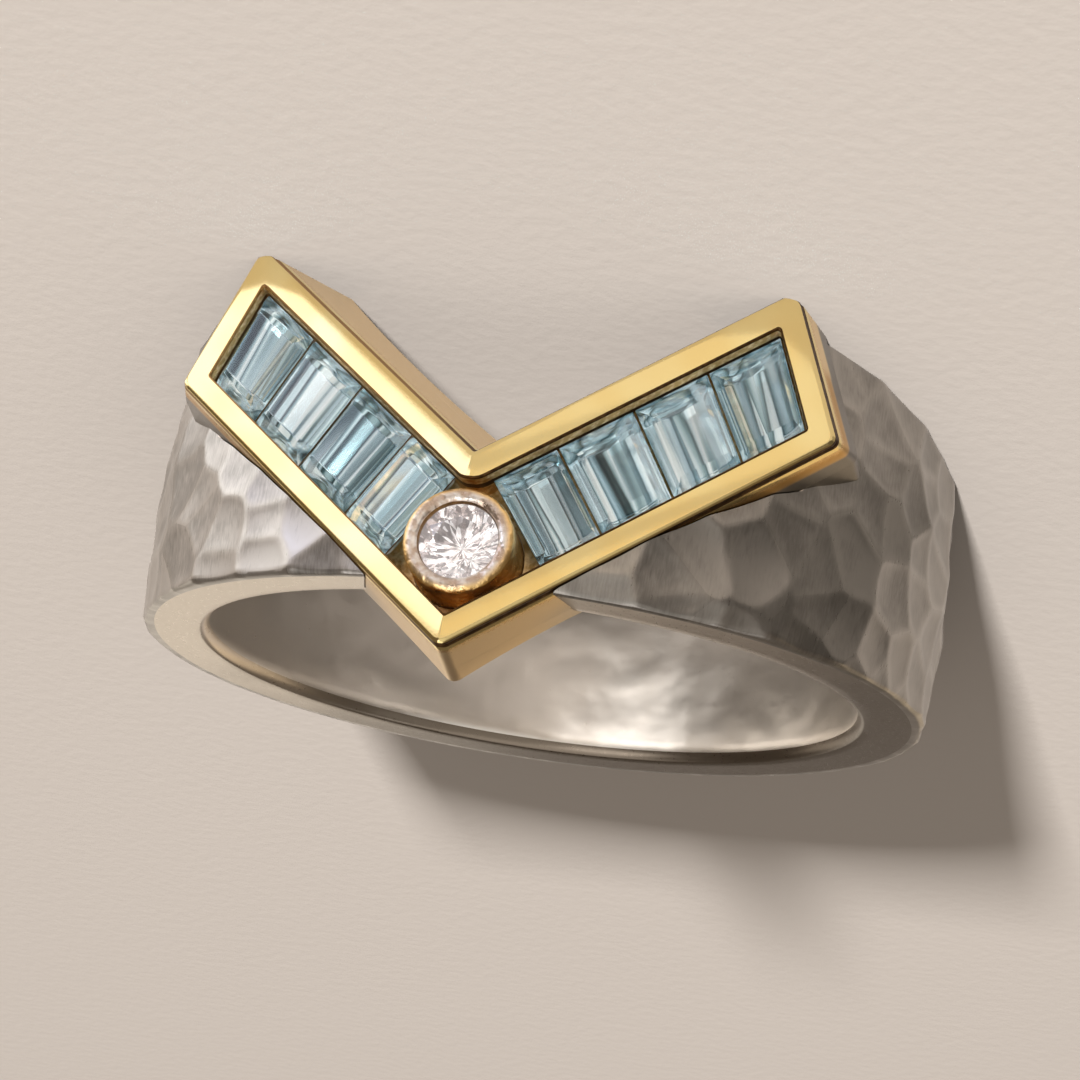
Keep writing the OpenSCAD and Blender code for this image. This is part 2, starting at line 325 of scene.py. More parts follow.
# Band
hammering = {
    "around": 720,
    "across": 80,
    "markSize": 1.6,
    "markDepth": 0.1,
    "randomness": 0.85,
    "softness": 0.3,
    "wander": 0.22,
    "wanderScale": 0.45,
    "layout": (4.7, 9.3),
    # a mark's bowl: how far out its rim lies, the most it rises, and the rise that moves nothing
    "bowlRim": 0.62,
    "bowlTop": 1.6,
    "bowlMean": 0.75,
    "edgeRound": 0.14,
    # how much of the marks is left on the rows of the rounded edge
    "edgeFade": (0.8, 0.45, 0.15),
    "bevelDepth": 0.28,
    "bevelLength": 0.6,
    "bevelSteps": 6,
    "boreRows": 8,
    # the tools that fit the boss to the bore and make room for the frame and the collet
    "boreClearance": 0.005,
    "boreToolReach": 12,
    "roomFoot": 5.0,
    "wellSides": 64,
    "smoothBelow": 32,
}

# the band's finishes, in the order of its materials
hammeredFace, rimFace, boreFace, wallFace = range(4)


def rimRows(s, side):
    # from the outer face over one rim to the foot of the inner bevel
    rows = []
    for degrees in (30, 60, 90):
        a = math.radians(degrees)
        inset, drop = s["edgeRound"] * (1 - math.sin(a)), s["edgeRound"] * (1 - math.cos(a))
        rows.append((side, inset, 1, drop, rimFace))
    rows += [(side, 0, share, 0, rimFace) for share in (0.8, 0.6, 0.4, 0.2)]
    for k in range(s["bevelSteps"] + 1):
        a = math.radians(90 * k / s["bevelSteps"])
        inset, drop = s["bevelLength"] * (1 - math.cos(a)), -s["bevelDepth"] * (1 - math.sin(a))
        rows.append((side, inset, 0, drop, rimFace if k < s["bevelSteps"] - 1 else boreFace))
    return rows


def blankProfile(s):
    # rows of (share across, inset from the rim, share of the wall, drop below the outer face, finish)
    outside = [(2 * k / s["across"] - 1, s["edgeRound"], 1, 0, hammeredFace) for k in range(s["across"] + 1)]
    inside = [(1 - 2 * k / s["boreRows"], s["bevelLength"], 0, 0, boreFace) for k in range(1, s["boreRows"])]
    return outside + rimRows(s, 1) + inside + rimRows(s, -1)[::-1]


def outerRadiusAt(y):
    return ring["outerRadius"] - ring["domeRadius"] + np.sqrt(ring["domeRadius"] ** 2 - y ** 2)


def makeBlank(s):
    rows = blankProfile(s)
    share, inset, wall, drop, finish = (np.array(column, float)[None, :] for column in zip(*rows))
    angle = (np.arange(s["around"]) / s["around"] * 2 * math.pi)[:, None]
    y = share * ring["halfWidth"] + 0 * angle
    innerEdge = ring["boreRadius"] + s["bevelDepth"]
    onBore = (finish == boreFace) | (drop < 0)
    # the sloping rim and the domed face depend on each other, and settle in a few rounds
    for _ in range(6):
        onWall = innerEdge + wall * (outerRadiusAt(y) - innerEdge) - drop
        radius = np.where(onBore, ring["boreRadius"] - drop, onWall)
        height = radius * np.cos(angle)
        y = share * (ring["halfWidth"] + height * math.tan(slope) - inset)
    points = np.stack([radius * np.sin(angle), y, height], -1).reshape(-1, 3)
    n, m = s["around"], len(rows)
    i, j = np.meshgrid(np.arange(n), np.arange(m), indexing="ij")
    nextI, nextJ = (i + 1) % n, (j + 1) % m
    corners = (i * m + j, nextI * m + j, nextI * m + nextJ, i * m + nextJ)
    faces = np.stack([corner.ravel() for corner in corners], -1)
    finish = finish[0].astype(int)
    return points, faces, np.tile(np.maximum(finish, np.roll(finish, -1)), n)


def meshFrom(name, points, faces, slots, faceSlots, smooth=True):
    mesh = bpy.data.meshes.new(name)
    mesh.from_pydata([layDown @ Vector(p) for p in points], [], [list(map(int, f)) for f in faces])
    for material in slots:
        mesh.materials.append(material)
    mesh.polygons.foreach_set("material_index", np.asarray(faceSlots, np.int32))
    mesh.polygons.foreach_set("use_smooth", np.full(len(mesh.polygons), smooth))
    mesh.update()
    return addObject(name, mesh)


def loft(name, loops, slots, kinds, capKinds):
    # joins loops of equally many points, the lowest one outside first; each has two points at x = 0,
    # where its cap is folded
    n = len(loops[0])
    points = [p for loop in loops for p in loop]
    faces = []
    for j in range(len(loops) - 1):
        for k in range(n):
            a, b = j * n + k, j * n + (k + 1) % n
            faces.append((a, b, b + n, a + n))
    kinds = [kind for kind in kinds for _ in range(n)]
    first, second = [k for k in range(n) if loops[0][k][0] == 0]
    base = len(points) - n
    for half in (range(first, second + 1), range(second, first + n + 1)):
        faces.append([k % n for k in reversed(half)])
        faces.append([base + k % n for k in half])
        kinds += list(capKinds)
    return meshFrom(name, points, faces, slots, kinds)


def column(name, outline, bottom, top, slots, slot):
    # an upright block: bottom and top give a height at each x
    loops = [[(x, y, height(x)) for x, y in outline] for height in (bottom, top)]
    return loft(name, loops, slots, [slot], (slot, slot))


def leaningBlock(name, grow, radii, slots, slot):
    # the chevron's body with its leaning walls, from the roof down into the bore
    loops = []
    for depth in (footDepth, endLeanDepth, 0.0):
        outline = chevronOutline(grow, depth)
        if radii:
            outline = softCorners(outline, radii)
        height = chevron["ridgeHeight"] - depth
        loops.append([(x, y, height - roofDrop(x)) for x, y in outline])
    return loft(name, loops, slots, [slot] * 2, (slot, slot))


# cutting tools reach this far out, past the ring on every side
beyond = 15


def rimTool(slots, slot):
    # everything beyond the plane of the far rim, on which the ring lies
    low, thickness = -1, 8
    points = []
    for x in (-beyond, beyond):
        for z in (low, beyond):
            edge = ring["halfWidth"] + z * math.tan(slope)
            points += [(x, edge, z), (x, edge + thickness, z)]
    faces = [(2, 3, 1, 0), (5, 7, 6, 4), (1, 5, 4, 0), (6, 7, 3, 2), (4, 6, 2, 0), (3, 7, 5, 1)]
    return meshFrom("rimTool", points, faces, slots, [slot] * 6)


def drum(name, radius, start, end, sides, slots, slot, centre=None):
    # a closed cylinder, upright on its centre, or along the bore's own line where none is given
    points = []
    for height in (start, end):
        for k in range(sides):
            a = 2 * math.pi * k / sides
            if centre:
                points.append((centre[0] + radius * math.cos(a), centre[1] + radius * math.sin(a), height))
            else:
                points.append((radius * math.sin(a), height, radius * math.cos(a)))
    faces = [(k, (k + 1) % sides, sides + (k + 1) % sides, sides + k) for k in range(sides)]
    faces.append(tuple(reversed(range(sides))))
    faces.append(tuple(range(sides, 2 * sides)))
    return meshFrom(name, points, faces, slots, [slot] * len(faces))


def blowPlaces(bench, around, y, wander):
    # places over the unrolled band, counted in blows and swayed so that the rows aren't straight
    shiftAround, shiftY = hammering["layout"]
    flat = bench.add("ShaderNodeCombineXYZ", None, around + shiftAround, y + shiftY, 0.0)
    sway = bench.noise(flat, hammering["wanderScale"], 1.0, out=1)
    centred = bench.vector("SUBTRACT", sway, (0.5, 0.5, 0.5))
    return bench.vector("ADD", flat, bench.vector("SCALE", centred, Scale=wander * 2.0))


def markInputs(s):
    return {
        "Mark Size": s["markSize"], "Mark Depth": s["markDepth"], "Randomness": s["randomness"],
        "Softness": s["softness"], "Wander": s["wander"],
    }


def hammerTree(s):
    # Geometry Nodes: every point of the outer face sinks by its distance from the nearest hammer blow
    tree = bpy.data.node_groups.new("hammerMarks", "GeometryNodeTree")
    sides = tree.interface
    sides.new_socket("Geometry", in_out="INPUT", socket_type="NodeSocketGeometry")
    for label, value in markInputs(s).items():
        sides.new_socket(label, in_out="INPUT", socket_type="NodeSocketFloat").default_value = value
    sides.new_socket("Material", in_out="INPUT", socket_type="NodeSocketMaterial")
    sides.new_socket("Geometry", in_out="OUTPUT", socket_type="NodeSocketGeometry")
    bench = Bench(tree)
    blank = bench.add("NodeGroupInput")
    size, depth, randomness, softness, wander, material = (bench.output(blank, k) for k in range(1, 7))
    location, rotation, _ = layDown.decompose()
    euler = tuple(rotation.to_euler("XYZ"))
    moved = bench.vector("SUBTRACT", bench.add("GeometryNodeInputPosition"), tuple(location))
    turned = bench.add(
        "ShaderNodeVectorRotate", {"rotation_type": "EULER_XYZ", "invert": True}, moved, Rotation=euler,
    )
    x, y, z = bench.split(turned)
    around = x.maths("ARCTAN2", 0 - z) * (ring["outerRadius"] * mm)
    spots = blowPlaces(bench, around / (size * mm), y / (size * mm), wander)
    nearest = bench.add(
        "ShaderNodeTexVoronoi", {"voronoi_dimensions": "2D", "feature": "SMOOTH_F1"},
        Vector=spots, Scale=1.0, Smoothness=softness, Randomness=randomness,
    )
    # a shallow bowl whose rim meets its neighbours' rims in a soft ridge
    bowl = (nearest / s["bowlRim"]) ** 2.0
    lift = (bowl.maths("MINIMUM", s["bowlTop"]) - s["bowlMean"]) * depth * mm
    radius = (x * x + z * z).maths("SQRT")
    outward = bench.add("ShaderNodeCombineXYZ", None, x / radius, 0.0, z / radius)
    rideOut = bench.vector("SCALE", outward, Scale=lift)
    turnedBack = bench.add("ShaderNodeVectorRotate", {"rotation_type": "EULER_XYZ"}, rideOut, Rotation=euler)
    share = bench.add("GeometryNodeInputNamedAttribute", {"data_type": "FLOAT"}, "struck")
    offset = bench.vector("SCALE", turnedBack, Scale=share)
    shaped = bench.add("GeometryNodeSetPosition", None, blank, Offset=offset)
    real = bench.add("GeometryNodeRealizeInstances", None, shaped)
    dressed = bench.add("GeometryNodeSetMaterial", None, real, Selection=share, Material=material)
    bench.add("NodeGroupOutput", None, dressed)
    return tree


def bakeDown(thing):
    # turns an object and its modifiers into a plain mesh
    graph = bpy.context.evaluated_depsgraph_get()
    graph.update()
    mesh = bpy.data.meshes.new_from_object(thing.evaluated_get(graph), depsgraph=graph)
    mesh.name = thing.name
    thing.modifiers.clear()
    thing.data = mesh


def runTree(thing, tree, values):
    modifier = thing.modifiers.new(tree.name, "NODES")
    modifier.node_group = tree
    for item in tree.interface.items_tree:
        if item.in_out == "INPUT" and item.name in values:
            modifier[item.identifier] = values[item.name]
    bakeDown(thing)


def carve(thing, tools):
    # tools are (operation, object) pairs, used in order and thrown away
    for operation, tool in tools:
        modifier = thing.modifiers.new(operation, "BOOLEAN")
        modifier.operation = operation
        modifier.solver = "MANIFOLD"
        modifier.object = tool
    bakeDown(thing)
    for _, tool in tools:
        bpy.data.objects.remove(tool)


def finishShading(thing, degrees):
    # smooth, but with a sharp edge wherever two faces turn by more than this
    thing.data.polygons.foreach_set("use_smooth", np.ones(len(thing.data.polygons), bool))
    thing.data.set_sharp_from_angle(angle=math.radians(degrees))
    thing.data.update()


def hammeredSteel(s):
    look = {
        "dark": (0.27, 0.253, 0.233), "light": (0.43, 0.405, 0.375), "bright": (0.60, 0.57, 0.535),
        "ridge": (0.66, 0.62, 0.57), "ridgeWidth": 0.2, "ridgeShare": 0.16,
        "grainAround": 9.0, "grainAlong": 1.6, "paintedLightAcross": (-6.5, 4.5), "paintedLightLift": 0.22, "roughness": 0.36,
    }
    bench = Finish("hammeredSteel", look["dark"], 1.0, look["roughness"])
    spot = standing(bench)
    x, y, z = bench.split(spot)
    around = x.maths("ARCTAN2", 0 - z) * ring["outerRadius"]
    stretched = bench.add(
        "ShaderNodeCombineXYZ", None, around * look["grainAround"], y * look["grainAlong"], 0.0,
    )
    grain = bench.noise(stretched, 1.6, 3.0, Roughness=0.6)
    cloud = bench.noise(spot, 0.9, 2.0)
    spots = blowPlaces(bench, around / s["markSize"], y / s["markSize"], s["wander"])
    edge, own = (
        bench.add(
            "ShaderNodeTexVoronoi", {"voronoi_dimensions": "2D", "feature": feature},
            Vector=spots, Scale=1.0, Randomness=s["randomness"], out=out,
        )
        for feature, out in (("DISTANCE_TO_EDGE", 0), ("F1", 1))
    )
    # every mark has a tone of its own, and the left shoulder is painted brighter than the right one: painted
    # light falling from the left
    facet = bench.split(own)[0]
    tone = bench.ramp(grain * 0.4 + cloud * 0.42 + facet * 0.18, 0.3, 0.66)
    wornAndPaintedLight = bench.ramp(x + cloud.swing(2.0), *look["paintedLightAcross"], 1.0, 0.0)
    metal = bench.blend(wornAndPaintedLight, look["light"], look["bright"])
    plain = bench.blend(tone + wornAndPaintedLight * look["paintedLightLift"], look["dark"], metal)
    # a slightly paler ridge where two marks meet: a painted highlight along the ridges, which are also a
    # little smoother
    ridge = bench.ramp(edge + grain.swing(0.03), 0.0, look["ridgeWidth"], 1.0, 0.0)
    return bench.feed(
        Base_Color=bench.blend(ridge * look["ridgeShare"], plain, look["ridge"]),
        Roughness=look["roughness"] + grain.swing(0.18) - ridge * 0.06,
        Normal=bench.bump(grain * 0.5 + ridge, 0.012, 0.35),
    )


def satinRim():
    look = {
        "left": (0.80, 0.72, 0.62), "right": (0.20, 0.165, 0.13), "paintedLightAcross": (-7.5, 5.5), "roughness": 0.3,
    }
    bench = Finish("satinRim", look["left"], 1.0, look["roughness"])
    spot = standing(bench)
    x, _, z = bench.split(spot)
    fine = bench.noise(spot, 9.0, 4.0)
    cloud = bench.noise(spot, 0.4, 1.0)
    # painted light: the rim is painted pale towards the left shoulder and the chevron, and dark towards the
    # right and the band's back
    wornAndPaintedLight = bench.ramp(x * 0.7 - z * 0.9 + cloud.swing(5.0), *look["paintedLightAcross"])
    return bench.feed(
        Base_Color=bench.blend(wornAndPaintedLight, look["left"], look["right"]),
        Roughness=look["roughness"] + fine.swing(0.16),
        Normal=bench.bump(fine, 0.004, 0.4),
    )


def polishedBore():
    look = {"base": (0.83, 0.79, 0.74), "roughness": 0.3, "waveDepth": 0.17}
    bench = Finish("polishedBore", look["base"], 1.0, look["roughness"])
    spot = standing(bench)
    waves = bench.noise(spot, 0.5, 1.2)
    small = bench.noise(spot, 1.3, 1.0)
    fine = bench.noise(spot, 7.0, 3.0)
    return bench.feed(
        Roughness=look["roughness"] + fine.swing(0.1),
        Normal=bench.bump(waves + small * 0.14, look["waveDepth"], 0.55),
    )


def wallGold():
    # the chevron's walls: warm gold under the top edge, and duller further down on the far side
    look = {
        "bright": (0.84, 0.57, 0.25), "point": (0.86, 0.66, 0.41), "deep": (0.62, 0.36, 0.11),
        "foot": (0.60, 0.53, 0.45), "tan": (0.90, 0.68, 0.38), "steel": (0.26, 0.24, 0.218),
        "roughness": 0.24,
        # where one tone turns into the next: depths below the top edge, and distances out from the middle
        "lowerDepth": (0.4, 0.75), "paintedShadeOut": (3.4, 4.8), "footDepth": (0.7, 1.6), "footOut": (1.4, 3.4),
        "bandDepth": (0.76, 0.9), "bandOut": (3.4, 4.4), "widerStrip": 0.16, "widerOut": (4.5, 7.0),
        "endDepth": (0.98, 1.12), "endOut": (7.2, 7.9),
    }
    bench = Finish("wallGold", look["bright"], 1.0, look["roughness"])
    spot = standing(bench)
    x, y, z = bench.split(spot)
    out = x.maths("ABSOLUTE")
    fine = bench.noise(spot, 9.0, 4.0)
    depth = chevron["ridgeHeight"] - out * math.tan(chevron["armFall"]) - z
    middle = out * (math.tan(chevron["armAngle"]) / math.cos(chevron["armFall"])) - chevron["bendOffset"]
    far = bench.ramp(y - middle, -0.3, 0.3)
    lower = bench.ramp(depth + fine.swing(0.2), *look["lowerDepth"])
    # painted shade: the near walls are painted lighter at the point and darker away from it; away from the
    # point, the near walls end in the band's own metal
    side = bench.blend(bench.ramp(out, *look["paintedShadeOut"]), look["point"], look["deep"])
    toFoot = bench.ramp(depth, *look["footDepth"]) * bench.ramp(out, *look["footOut"])
    bandDepth = depth - bench.ramp(out, *look["widerOut"]) * look["widerStrip"]
    toBand = bench.ramp(bandDepth, *look["bandDepth"]) * bench.ramp(out, *look["bandOut"])
    nearFoot = bench.blend(toBand, bench.blend(toFoot, side, look["foot"]), look["steel"])
    atEnd = bench.ramp(depth, *look["endDepth"]) * bench.ramp(out, *look["endOut"])
    foot = bench.blend(atEnd, bench.blend(far, nearFoot, look["tan"]), look["steel"])
    return bench.feed(
        Base_Color=bench.blend(lower, look["bright"], foot),
        Roughness=look["roughness"] + fine.swing(0.14) + lower * 0.08,
        Normal=bench.bump(fine, 0.003, 0.4),
    )


wallMetal = wallGold()


def level(height):
    return lambda x: height


def makeBand(s):
    slots = [hammeredSteel(s), satinRim(), polishedBore(), wallMetal]
    points, faces, kinds = makeBlank(s)
    band = meshFrom("hammeredBand", points, faces, slots, kinds)
    struck = np.array([float(row[-1] == hammeredFace) for row in blankProfile(s)])
    outerRows = s["across"] + 1
    struck[outerRows:outerRows + len(s["edgeFade"])] = s["edgeFade"]
    struck[-len(s["edgeFade"]):] = s["edgeFade"][::-1]
    share = band.data.attributes.new("struck", "FLOAT", "POINT")
    share.data.foreach_set("value", np.tile(struck, s["around"]).astype(np.float32))
    runTree(band, hammerTree(s), {**markInputs(s), "Material": slots[hammeredFace]})
    print("band hammered", len(band.data.polygons), "faces")
    wall, gap = chevron["wall"], chevron["gap"]
    boss = leaningBlock("boss", wall, bossCorners, slots, wallFace)
    radius, reach = ring["boreRadius"] + s["boreClearance"], s["boreToolReach"]
    boreTool = drum("boreTool", radius, -reach, reach, s["around"], slots, boreFace)
    carve(boss, [("DIFFERENCE", boreTool), ("DIFFERENCE", rimTool(slots, rimFace))])
    x, y = farCorner
    b = beyond
    notch = column(
        "notchTool", [(0, notchY), (x, y), (x, b), (0, b), (-x, b), (-x, y)],
        level(0.0), level(b), slots, rimFace,
    )
    room = column("room", chevronOutline(wall + gap), level(s["roomFoot"]), level(b), slots, rimFace)
    roomBelow = leaningBlock("roomBelow", wall + gap, None, slots, rimFace)
    under = column(
        "under", [(0, -b), (b, -b), (b, b), (0, b), (-b, b), (-b, -b)],
        level(0.0), lambda x: seatHeight - roofDrop(x), slots, rimFace,
    )
    carve(room, [("UNION", roomBelow), ("DIFFERENCE", under)])
    seat = ring["boreRadius"] + chevron["colletSeat"]
    wellRadius = chevron["colletRadius"] + gap
    well = drum("wellTool", wellRadius, seat, b, s["wellSides"], slots, rimFace, (0, colletY))
    carve(band, [("DIFFERENCE", notch), ("UNION", boss), ("DIFFERENCE", room), ("DIFFERENCE", well)])
    finishShading(band, s["smoothBelow"])
    print("band carved", len(band.data.polygons), "faces")
    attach(band, "root")
    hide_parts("band")


makeBand(hammering)


# Gold frame
frameLook = {
    "topRound": 0.11,
    "lineBottom": 0.29,
    "brightBottom": 0.46,
    "groove": 0.03,
    "innerRound": 0.05,
    "innerLine": 0.1,
    # the second dark line down the channel's wall, as shares of the tray's depth
    "lowerLine": (0.35, 0.55),
    "seatGap": 0.004,
    "innerCorner": 0.08,
    "notchInner": 0.55,
    "holeFoot": 8,
    "holeSides": 96,
    "smoothBelow": 30,
}

# the frame's finishes, in the order of its materials
topGold, innerGold, sideGold, darkLine = range(4)


def frameCorners(grow, s):
    # each corner's radius changes evenly from the channel's side of the wall to its outside
    share = min(max(grow / chevron["wall"], 0), 1)
    plain = s["innerCorner"] + (outerCorners["plain"] - s["innerCorner"]) * share
    notch = s["notchInner"] + (outerCorners["notch"] - s["notchInner"]) * share
    return [plain, plain, plain, notch, plain, plain]


def polishedGold():
    look = {"pale": (0.96, 0.79, 0.38), "rich": (0.93, 0.72, 0.31), "roughness": 0.15}
    bench = Finish("polishedGold", look["pale"], 1.0, look["roughness"])
    spot = standing(bench)
    waves = bench.noise(spot, 0.5, 1.0)
    fine = bench.noise(spot, 14.0, 3.0)
    return bench.feed(
        Base_Color=bench.blend(bench.ramp(waves, 0.35, 0.65), look["rich"], look["pale"]),
        Roughness=look["roughness"] + fine.swing(0.1),
        Normal=bench.bump(fine, 0.002, 0.4),
    )


def edgeLine():
    # dark lines: a painted dark reflection under the top edge, a dark line down the channel's wall, dark
    # joints round the stones and painted shade in the collet's lip
    look = {
        "base": (0.055, 0.026, 0.008), "light": (0.12, 0.06, 0.02), "roughness": 0.4,
        # they are painted browner on the left arm, as painted light from the left
        "brown": (0.40, 0.22, 0.075), "brownAcross": (-2.5, 0.5), "brownShare": 0.75,
    }
    bench = Finish("edgeLine", look["base"], 0.9, look["roughness"])
    spot = standing(bench)
    rough = bench.noise(spot, 5.0, 2.0)
    dark = bench.blend(bench.ramp(rough, 0.4, 0.7), look["base"], look["light"])
    brown = bench.ramp(bench.split(spot)[0], *look["brownAcross"], look["brownShare"], 0.0)
    return bench.feed(Base_Color=bench.blend(brown, dark, look["brown"]))


def shadedGold():
    # gold that the polisher can't reach, rougher and painted darker as shade: the channel's walls and the
    # tray's floor
    look = {"base": (0.66, 0.40, 0.15), "light": (0.98, 0.74, 0.42), "roughness": 0.42}
    bench = Finish("shadedGold", look["base"], 1.0, look["roughness"])
    rough = bench.noise(standing(bench), 6.0, 4.0)
    return bench.feed(
        Base_Color=bench.blend(bench.ramp(rough, 0.4, 0.7), look["base"], look["light"]),
        Roughness=look["roughness"] + rough.swing(0.3),
        Normal=bench.bump(rough, 0.03, 0.8),
    )


def makeFrame(s):
    gold = [polishedGold(), shadedGold(), wallMetal, edgeLine()]
    wall, top = chevron["wall"], chevron["ridgeHeight"]

    def loop(grow, depth, leans):
        drop = depth * steepness
        outline = chevronOutline(grow, drop if leans else 0.0)
        return [(x, y, top - roofDrop(x) - drop) for x, y in softCorners(outline, frameCorners(grow, s))]

    outer, inner = s["topRound"], s["innerRound"]
    deep = chevron["trayDepth"]
    bottom = deep + chevron["floor"] + chevron["gap"] - s["seatGap"]
    # loops from the outside's foot over the top to the tray's floor, each with the finish that starts there
    steps = [
        (wall, bottom, True, sideGold),
        (wall, s["brightBottom"], True, topGold),
        # the dark line under the top edge, in its shallow groove, is a painted dark reflection
        (wall, s["lineBottom"], True, darkLine),
        (wall - s["groove"], (outer + s["lineBottom"]) / 2, True, darkLine),
    ]
    for degrees, finish in ((0, darkLine), (22, topGold), (45, topGold), (68, topGold), (90, topGold)):
        a = math.radians(degrees)
        steps.append((wall - outer * (1 - math.cos(a)), outer * (1 - math.sin(a)), True, finish))
    for degrees in (90, 45, 0):
        a = math.radians(degrees)
        steps.append((inner * (1 - math.sin(a)), inner * (1 - math.cos(a)), False, darkLine))
    lineTop, lineFoot = (deep * share for share in s["lowerLine"])
    channel = ((s["innerLine"], innerGold), (lineTop, darkLine), (lineFoot, innerGold), (deep, innerGold))
    steps += [(0, depth, False, finish) for depth, finish in channel]
    loops = [loop(grow, depth, leans) for grow, depth, leans, _ in steps]
    kinds = [finish for *_, finish in steps[:-1]]
    gilt = loft("goldFrame", loops, gold, kinds, (sideGold, innerGold))
    radius = chevron["colletRadius"] + chevron["gap"]
    hole = drum("holeTool", radius, s["holeFoot"], beyond, s["holeSides"], gold, innerGold, (0, colletY))
    carve(gilt, [("DIFFERENCE", hole), ("DIFFERENCE", rimTool(gold, topGold))])
    finishShading(gilt, s["smoothBelow"])
    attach(gilt, "root")
    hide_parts("chevron_frame")


makeFrame(frameLook)
print("gold frame made")


# Collet: heights are below its top, which stands just over the roof
colletLook = {
    "diameter": 2.84,
    "stone": 2.24,
    "hole": 1.2,
    "lap": 0.1,
    "round": 96,
    "proud": 0.02,
    "lipHeight": 0.2,
    "lipSteps": 12,
    "lipFullness": 0.8,
    "sideSeam": 0.42,
    "lipFoot": 0.24,
    "stoneRoom": 0.03,
    "grooveTop": 0.34,
    "grooveFoot": 0.44,
    "coneFoot": 0.98,
    "smoothBelow": 40,
}


def burnishedGold():
    # a rosy, matt lip over a warm gold side
    look = {
        "side": (0.98, 0.66, 0.28), "lip": (1.0, 0.96, 0.92), "wornAndPaintedLight": (0.64, 0.50, 0.40),
        "lipRadius": (1.22, 1.38), "roughness": 0.3, "dentDepth": 0.12,
    }
    bench = Finish("burnishedGold", look["lip"], 1.0, look["roughness"])
    spot = standing(bench)
    dents = bench.noise(spot, 3.0, 3.0)
    x, y, _ = bench.split(spot)
    y = y - colletY
    edge = bench.ramp((x * x + y * y).maths("SQRT") + dents.swing(0.2), *look["lipRadius"], 1.0, 0.0)
    lip = bench.blend(bench.ramp(dents, 0.42, 0.66), look["wornAndPaintedLight"], look["lip"])
    return bench.feed(
        Base_Color=bench.blend(edge, look["side"], lip),
        Roughness=look["roughness"] + dents.swing(0.2),
        Normal=bench.bump(dents, look["dentDepth"], 0.8),
    )


def revolve(name, profile, kinds, centreY, count, slots):
    # a closed profile turned about an upright line, with a finish for each of its edges
    points, faces, m = [], [], len(profile)
    for k in range(count):
        a = 2 * math.pi * k / count
        points += [(q * math.cos(a), centreY + q * math.sin(a), h) for q, h in profile]
    for k in range(count):
        here, after = k * m, (k + 1) % count * m
        for j in range(m):
            faces.append((here + j, after + j, after + (j + 1) % m, here + (j + 1) % m))
    return meshFrom(name, points, faces, slots, kinds * count)


def makeCollet(s):
    r, stone, hole = s["diameter"] / 2, s["stone"] / 2, s["hole"] / 2
    lip = stone - s["lap"]
    width = r - lip
    top = chevron["ridgeHeight"] + s["proud"]
    foot = ring["boreRadius"] + chevron["colletSeat"] + chevron["gap"]
    profile = [(hole, foot), (r, foot), (r, top - s["sideSeam"]), (r, top - s["lipHeight"])]
    for k in range(1, s["lipSteps"]):
        a = math.pi * k / s["lipSteps"]
        rise = s["lipHeight"] * math.sin(a) ** s["lipFullness"]
        profile.append((lip + width * (0.5 + 0.5 * math.cos(a)), top - s["lipHeight"] + rise))
    # the outside and the lip are burnished, and everything behind the lip is painted dark, as shade in the
    # gap round the stone
    kinds = [0] * (len(profile) - 2) + [1] * 6
    seat = stone + s["stoneRoom"]
    profile += [(lip, top - s["lipFoot"]), (seat, top - s["grooveTop"]), (seat, top - s["grooveFoot"])]
    profile.append((hole, top - s["coneFoot"]))
    collet = revolve("burnishedCollet", profile, kinds, colletY, s["round"], [burnishedGold(), edgeLine()])
    finishShading(collet, s["smoothBelow"])
    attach(collet, "root")
    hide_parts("collet")


makeCollet(colletLook)
print("collet made")


# Stones: polished crowns over pavilions that mirror the light, as in a closed setting, with painted
# reflections and a painted glow on the pavilions
stoneLook = {
    "recess": 0.18,
    "crown": 0.30,
    "girdle": 0.05,
    "pavilion": 0.62,
    "endTilts": [2, 4, 7, 10.5, 17],
    # height as a share of crown or pavilion, then the insets from the long edges and from the ends,
    # as shares of the width
    "crownSteps": [(1, 0.14, 0.23), (0.55, 0.06, 0.10), (0.0, 0.0, 0.0)],
    "pavilionSteps": [
        (0.0, 0.0, 0.0), (-0.35, 0.05, 0.07), (-0.62, 0.14, 0.14), (-0.85, 0.28, 0.20), (-1, 0.44, 0.25),
    ],
    "glass": (0.93, 0.97, 0.99),
    "bending": 1.58,
}
# heights and radii are shares of the stone's radius
brilliantLook = {
    "diameter": 2.24,
    "table": 0.55,
    "star": 0.77,
    "crown": 0.29,
    "girdle": 0.05,
    "pavilion": 0.86,
    "lower": 0.24,
    "recess": 0.02,
    "glass": (0.995, 0.985, 0.985),
    "bending": 1.8,
}

# the stones' finishes, in the order of their materials
crownFace, pavilionFace, girdleFace = range(3)


def crownGlass(name, s):
    bench = Finish(name, s["glass"], 0.0, 0.01, IOR=s["bending"], Transmission_Weight=1.0)
    veil = bench.noise(standing(bench), 1.4, 2.0)
    lighter = tuple(min(1.0, c * 1.06) for c in s["glass"])
    return bench.feed(Base_Color=bench.blend(veil, s["glass"], lighter), Roughness=veil * 0.02)


